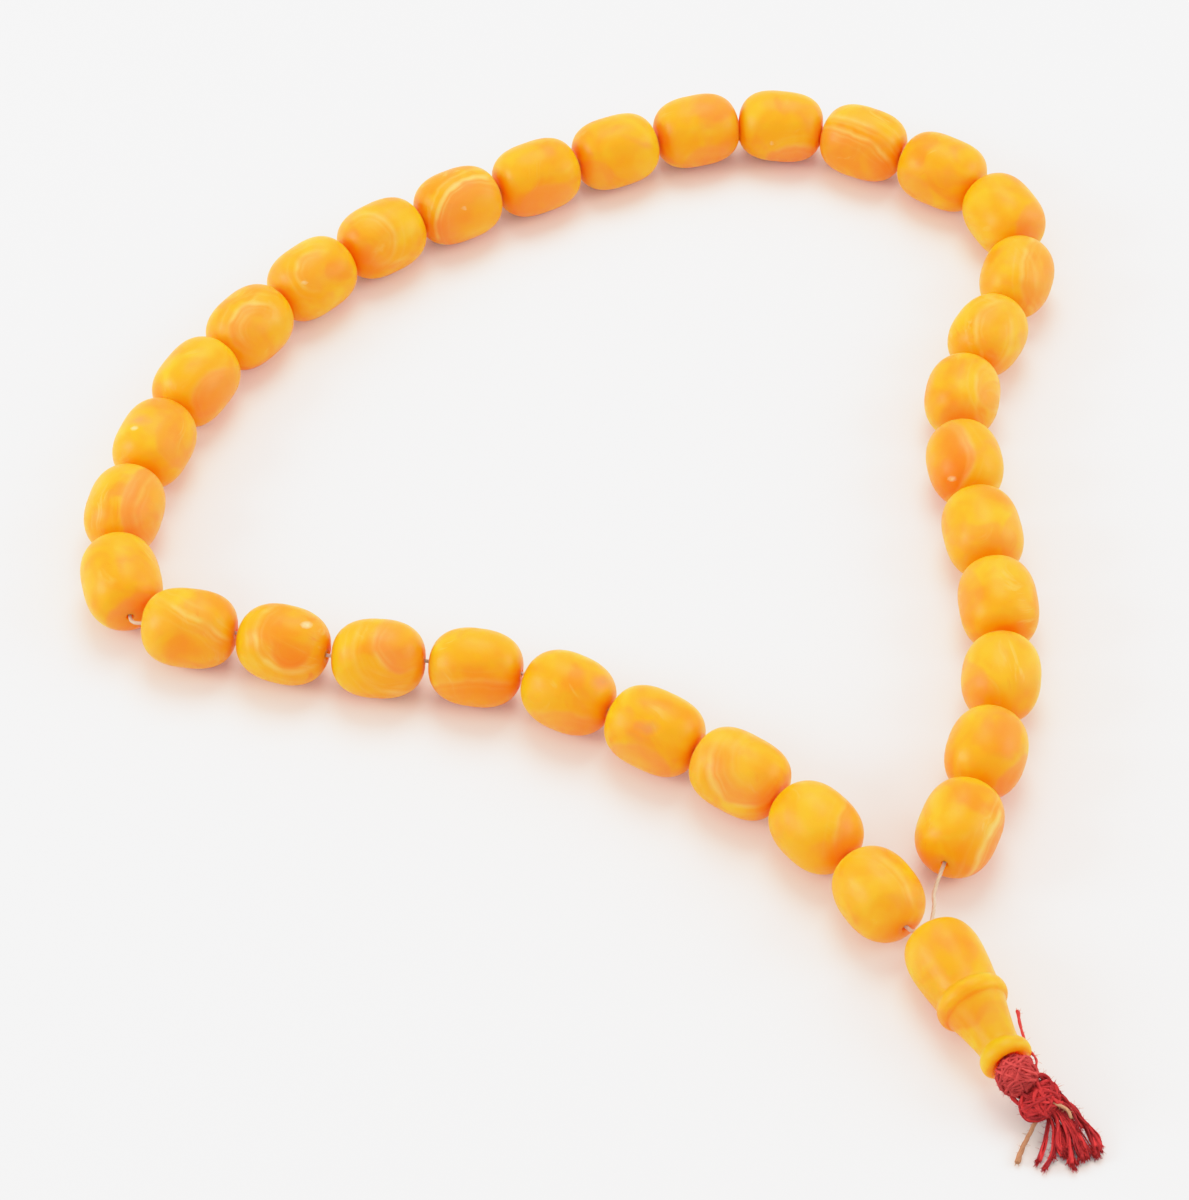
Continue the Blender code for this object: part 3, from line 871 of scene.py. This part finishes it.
def add_thread(material):
    """The strand's thread: a piece that bends over each hinge, one between the two beads of each
    link, and the two ends at the imame."""
    places = {number: bead_place(number) for number in range(1, BEAD_COUNT + 1)}
    for hinge in range(1, HINGE_COUNT + 1):
        before, after = 2 * hinge - 1, 2 * hinge
        pivot = Vector(JOINTS[f"flex_{hinge:02d}"]["pos_m"])
        start, end = places[before][0], places[after][0]
        leave = (pivot - start).normalized()
        arrive = (end - pivot).normalized()
        bend_start, bend_end = pivot - leave * BEND_REACH, pivot + arrive * BEND_REACH
        route = [start, bend_start, pivot + (arrive - leave) * BEND_CUT, bend_end, end]
        nodes = (f"thread_{hinge:02d}", f"thread_{hinge + 1:02d}")
        piece = add_cord(f"cord_bend_{hinge:02d}", route, material, nodes, CORD_BEND_SEED + hinge)
        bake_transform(piece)
    for link in range(2, HINGE_COUNT + 2):
        (start, start_way), (end, end_way) = places[2 * link - 2], places[2 * link - 1]
        elbow = (start + start_way * BEAD_HALF_GAP_REACH + end - end_way * BEAD_HALF_GAP_REACH) / 2
        route = [start, elbow, end]
        nodes = (f"thread_{link:02d}",)
        piece = add_cord(f"cord_run_{link:02d}", route, material, nodes, CORD_RUN_SEED + link)
        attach(piece, f"link_{link:02d}")
    first, last = places[1][0], places[BEAD_COUNT][0]
    route = [imame_point(*spot) for spot in FIRST_END_ROUTE] + [first]
    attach(add_cord("cord_start", route, material, ("thread_01",), CORD_START_SEED), "link_01")
    route = [last, last + places[BEAD_COUNT][1] * BEAD_LENGTH * 0.52]
    route += [imame_point(*spot) for spot in LAST_END_ROUTE]
    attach(add_cord("cord_end", route, material, ("thread_17",), CORD_END_SEED), "link_17")
    pair = Strands(CORD_PAIR_SEED)
    for aside in (-PAIR_ASIDE, PAIR_ASIDE):
        pair.rope([imame_point(along, side * aside) for along, side in PAIR_ROUTE], THREAD_RADIUS)
    piece = pair.finish("cord_pair", material)
    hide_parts("thread_pair")
    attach(piece, "imame")


# Tassel. All routes are in millimetres in the model's frame.

YARN_RADIUS = 0.33
ROUND_KNOT_WINDINGS = 46
ROUND_KNOT_YARN = 0.22
ROUND_KNOT_RADIUS = 2.72
ROUND_KNOT_CORE = (2.6, 2.6, 2.6)
LOWER_KNOT_WINDINGS = 30
LOWER_KNOT_YARN = 0.25
LOWER_KNOT_CORE_SHARE = 0.97
KNOT_STEP = 0.35
# Loose fibres on each piece, and the shortest and longest of them
ROUND_KNOT_FUZZ = (1100, 0.3 * MM, 0.8 * MM)
LOWER_KNOT_FUZZ = (1000, 0.3 * MM, 0.9 * MM)
FRINGE_FUZZ = (900, 0.3 * MM, 1.0 * MM)
TAIL_FUZZ = (24, 0.3 * MM, 0.8 * MM)
STRAY_FUZZ = (26, 0.3 * MM, 0.8 * MM)
LOWER_KNOT_CENTRE = (61.8, -94.9, 3.3)
LOWER_KNOT_RADII = (2.25, 2.95, 2.2)
LOWER_KNOT_HEADING = math.radians(-44.0)
KNOT_LOOPS = [
    [(60.4, -93.6, 5.3), (61.2, -92.5, 5.7), (62.3, -92.2, 5.5), (63.2, -92.9, 5.2), (63.4, -94.2, 4.7)],
    [(61.6, -93.9, 5.6), (62.7, -93.0, 5.2), (63.9, -93.2, 4.5), (64.2, -94.4, 3.8), (63.5, -95.3, 4.0)],
    [(60.2, -94.2, 5.0), (59.3, -95.2, 4.6), (59.6, -96.6, 3.7), (60.7, -97.0, 3.0)],
    [(61.2, -94.6, 5.7), (60.8, -95.8, 5.4), (61.4, -97.0, 4.4), (62.6, -97.4, 3.4)],
    [(62.6, -94.3, 5.3), (63.2, -95.3, 4.9), (64.2, -95.6, 4.0), (64.9, -94.9, 3.1)],
    [(59.6, -92.6, 7.0), (60.7, -93.3, 6.4), (61.5, -94.2, 5.8), (61.9, -95.4, 5.5)],
    [(58.6, -94.0, 5.8), (59.2, -94.7, 5.2), (60.2, -95.6, 5.1), (61.2, -96.2, 4.8)],
    [(61.2, -92.0, 5.8), (62.2, -92.6, 5.2), (63.2, -93.6, 4.6), (64.2, -94.6, 3.4)],
    [(57.4, -93.2, 4.4), (58.2, -94.6, 3.6), (59.6, -95.8, 3.0), (61.2, -96.6, 2.6)],
]
# The fringe's yarns: (route, radius)
FRINGE = [
    ([(62.4, -95.4, 3.2), (63.0, -97.0, 2.0), (62.0, -100.8, 0.8), (61.0, -102.7, 0.5)], 0.34),
    ([(62.6, -95.8, 3.0), (63.5, -98.0, 1.7), (63.2, -101.1, 0.8), (62.2, -103.7, 0.5)], 0.34),
    ([(62.8, -95.6, 3.2), (63.9, -97.4, 2.2), (63.5, -99.8, 1.2), (63.1, -102.2, 0.6)], 0.30),
    ([(62.6, -95.0, 3.4), (64.0, -97.2, 2.4), (64.0, -100.4, 1.3), (64.5, -101.5, 0.9)], 0.38),
    ([(62.8, -95.4, 3.0), (64.3, -98.0, 1.6), (64.7, -100.6, 0.9), (64.9, -101.9, 0.6)], 0.34),
    ([(63.0, -95.2, 3.3), (64.9, -97.7, 2.2), (65.6, -100.8, 1.1), (65.5, -103.5, 0.7)], 0.42),
    ([(63.0, -95.6, 2.6), (65.0, -98.6, 1.1), (65.6, -101.2, 0.6), (66.1, -103.2, 0.5)], 0.36),
    ([(63.2, -95.2, 3.2), (65.7, -98.3, 2.0), (66.6, -101.2, 1.1), (66.8, -102.6, 0.8)], 0.38),
    ([(63.2, -94.9, 3.4), (65.8, -97.7, 2.2), (67.3, -100.1, 1.3), (68.2, -101.9, 0.7)], 0.38),
    ([(63.4, -95.0, 2.6), (66.0, -98.6, 1.0), (67.2, -100.6, 0.6), (67.6, -102.3, 0.5)], 0.34),
    ([(63.6, -95.0, 2.4), (66.3, -96.9, 1.3), (67.4, -98.7, 0.8), (68.6, -101.3, 0.5)], 0.24),
    ([(63.6, -94.4, 3.6), (66.2, -95.2, 2.7), (67.9, -97.8, 1.6), (69.4, -101.4, 0.7)], 0.40),
    (
        [(63.4, -94.0, 4.0), (64.8, -94.2, 3.6), (67.1, -96.9, 2.3), (69.3, -99.2, 1.2), (69.6, -100.7, 0.7)],
        0.36,
    ),
    ([(63.4, -94.4, 3.0), (66.4, -96.0, 1.7), (68.6, -99.0, 0.9), (69.2, -101.7, 0.5)], 0.30),
    ([(63.0, -95.0, 3.4), (65.0, -96.4, 2.8), (66.3, -98.6, 1.9), (67.4, -100.6, 1.2)], 0.34),
    ([(63.2, -94.8, 3.7), (65.2, -95.6, 3.3), (66.2, -96.9, 2.6), (66.9, -98.4, 2.0)], 0.32),
    ([(62.8, -95.4, 3.6), (64.4, -96.8, 2.8), (65.2, -99.4, 1.7), (65.4, -101.2, 1.1)], 0.30),
]
# Every yarn of the fringe is loosely made of this many thinner ones
FRINGE_PLIES = 5
TAIL = [(61.6, -96.3, 2.2), (60.7, -98.0, 1.3), (59.3, -100.6, 0.8), (58.4, -102.9, 0.6)]
SHORT_TAIL = [
    (62.6, -95.5, 4.4), (63.6, -95.8, 4.1), (64.8, -96.0, 3.6), (65.6, -96.5, 3.1), (65.9, -97.2, 2.6),
]
STRAY_END = [
    (61.0, -92.4, 6.2), (61.4, -90.9, 6.3), (61.4, -89.6, 5.8), (60.95, -87.8, 4.8),
    (60.4, -84.8, 3.6), (60.1, -81.6, 2.7), (60.1, -79.8, 2.2), (60.0, -79.2, 2.0),
]


def in_metres(route):
    return [Vector(point) * MM for point in route]


def wound_loop(centre, radii, heading, normal, offset, wobble, chance):
    """A closed winding of yarn round an ellipsoid, in the plane across normal."""
    side = normal.orthogonal().normalized()
    up = normal.cross(side)
    turn = Matrix.Rotation(heading, 3, "Z")
    ring = math.sqrt(1.0 - offset**2)
    phase = chance.uniform(0.0, math.tau)
    route = []
    for k in range(17):
        angle = math.tau * k / 16 + phase
        way = (side * math.cos(angle) + up * math.sin(angle)) * ring + normal * offset
        way *= 1.0 + wobble * math.sin(3 * angle + phase)
        spot = Vector(radius * part for radius, part in zip(radii, way))
        route.append(centre + turn @ spot)
    return route


def ellipsoid(name, centre, radii, heading, material):
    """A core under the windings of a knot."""
    shape = bmesh.new()
    bmesh.ops.create_icosphere(shape, subdivisions=4, radius=1.0)
    for vertex in shape.verts:
        vertex.co *= 1.0 + 0.05 * noise.noise(vertex.co * 3.0)
    bmesh.ops.scale(shape, vec=radii, verts=shape.verts)
    mesh = mesh_from(shape, name, material)
    mesh.shade_smooth()
    piece = new_object(name, mesh)
    fibre = [Vector((x / MM, y / MM * 3.0, z / MM)) for x, y, z in (vertex.co for vertex in mesh.vertices)]
    write_attribute(piece, "fibre", fibre)
    piece.matrix_world = Matrix.Translation(centre) @ Matrix.Rotation(heading, 4, "Z")
    return piece


def hold_in_tassel(piece, node):
    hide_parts(node)
    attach(piece, "tassel")


def add_round_knot(material):
    centre = Vector(JOINTS["tassel_swing"]["pos_m"])
    _, axis = imame_place()
    knot = Strands(ROUND_KNOT_SEED)
    for _ in range(ROUND_KNOT_WINDINGS):
        normal = (axis * 0.8 + random_way(knot.chance)).normalized()
        offset = knot.chance.uniform(-0.8, 0.8)
        radii = Vector((1.0, 1.0, 1.0)) * (ROUND_KNOT_RADIUS + knot.chance.uniform(-0.35, 0.08)) * MM
        route = wound_loop(centre, radii, 0.0, normal, offset, 0.05, knot.chance)
        knot.rope(route, ROUND_KNOT_YARN * MM, plies=2, sides=8, step=KNOT_STEP * MM, depth=0.4)
    knot.fuzz(*ROUND_KNOT_FUZZ)
    piece = ellipsoid("round_knot_core", centre, Vector(ROUND_KNOT_CORE) * MM, 0.0, material)
    hold_in_tassel(piece, "tassel_round_knot")
    hold_in_tassel(knot.finish("round_knot_yarn", material), "tassel_round_knot")


def add_lower_knot(material):
    centre = Vector(LOWER_KNOT_CENTRE) * MM
    knot = Strands(LOWER_KNOT_SEED)
    for _ in range(LOWER_KNOT_WINDINGS):
        radii = Vector(LOWER_KNOT_RADII) * knot.chance.uniform(0.90, 1.06) * MM
        offset = knot.chance.uniform(-0.8, 0.8)
        normal = random_way(knot.chance)
        route = wound_loop(centre, radii, LOWER_KNOT_HEADING, normal, offset, 0.05, knot.chance)
        knot.rope(route, LOWER_KNOT_YARN * MM, plies=2, sides=8, step=KNOT_STEP * MM, depth=0.4)
    for route in KNOT_LOOPS:
        knot.rope(in_metres(route), YARN_RADIUS * MM, plies=2, sides=10, depth=0.4)
    knot.fuzz(*LOWER_KNOT_FUZZ)
    core = Vector(LOWER_KNOT_RADII) * LOWER_KNOT_CORE_SHARE * MM
    piece = ellipsoid("lower_knot_core", centre, core, LOWER_KNOT_HEADING, material)
    hold_in_tassel(piece, "tassel_lower_knot")
    hold_in_tassel(knot.finish("lower_knot_yarn", material), "tassel_lower_knot")


def add_fringe(material):
    fringe = Strands(FRINGE_SEED)
    for route, radius in FRINGE:
        for _ in range(FRINGE_PLIES):
            strand = []
            for k, point in enumerate(in_metres(route)):
                loose = (0.3 + 0.9 * k / (len(route) - 1)) * radius * MM
                spot = point + random_way(fringe.chance) * loose
                spot.z = max(spot.z, 0.25 * MM)
                strand.append(spot)
            strand[-1] += (strand[-1] - strand[-2]) * fringe.chance.uniform(-0.2, 0.1)
            thin = radius * MM * fringe.chance.uniform(0.42, 0.58)
            path = fringe.rope(strand, thin, plies=2, sides=8, swell=0.3, depth=0.4, lay=2.0 * MM)
            fringe.frayed_end(path, thin, 14, 0.9 * MM)
    fringe.fuzz(*FRINGE_FUZZ)
    hold_in_tassel(fringe.finish("fringe_yarn", material), "tassel_fringe")


def add_tails(material):
    for name, node, seed, route, radius, swell in (
        ("tail_thread", "thread_tail", TAIL_SEED, TAIL, 0.33, 0.5),
        ("short_tail_thread", "thread_short_tail", SHORT_TAIL_SEED, SHORT_TAIL, 0.25, 0.0),
    ):
        tail = Strands(seed)
        path = tail.rope(in_metres(route), radius * MM, swell=swell)
        tail.frayed_end(path, radius * MM, 10, 0.8 * MM)
        tail.fuzz(*TAIL_FUZZ)
        hold_in_tassel(tail.finish(name, material), node)


def add_stray_end(material):
    stray = Strands(STRAY_SEED)
    path = stray.rope(in_metres(STRAY_END), 0.20 * MM, plies=2, sides=10, swell=0.6)
    stray.frayed_end(path, 0.24 * MM, 8, 0.8 * MM)
    stray.fuzz(*STRAY_FUZZ)
    piece = stray.finish("stray_yarn", material)
    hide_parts("stray_yarn_end")
    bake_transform(piece)


def main():
    add_camera()
    resin = resin_material()
    add_beads(resin)
    add_imame(resin)
    thread = fibre_material("beige_thread", (0.42, 0.31, 0.20), (0.80, 0.70, 0.56), 0.8, 0.2)
    add_thread(thread)
    tan = fibre_material("tan_thread", (0.30, 0.12, 0.05), (0.60, 0.33, 0.17), 0.85, 0.2)
    add_tails(tan)
    dull_colours = (0.24, 0.014, 0.014), (0.64, 0.066, 0.056)
    dull_yarn = fibre_material("dull_crimson_yarn", *dull_colours, 0.9, 0.25)
    yarn = fibre_material("crimson_yarn", (0.12, 0.004, 0.007), (0.70, 0.038, 0.034), 0.9, 0.2)
    add_round_knot(dull_yarn)
    add_lower_knot(yarn)
    add_fringe(yarn)
    add_stray_end(dull_yarn)
    add_floor()
    add_light()
    set_tones()


main()
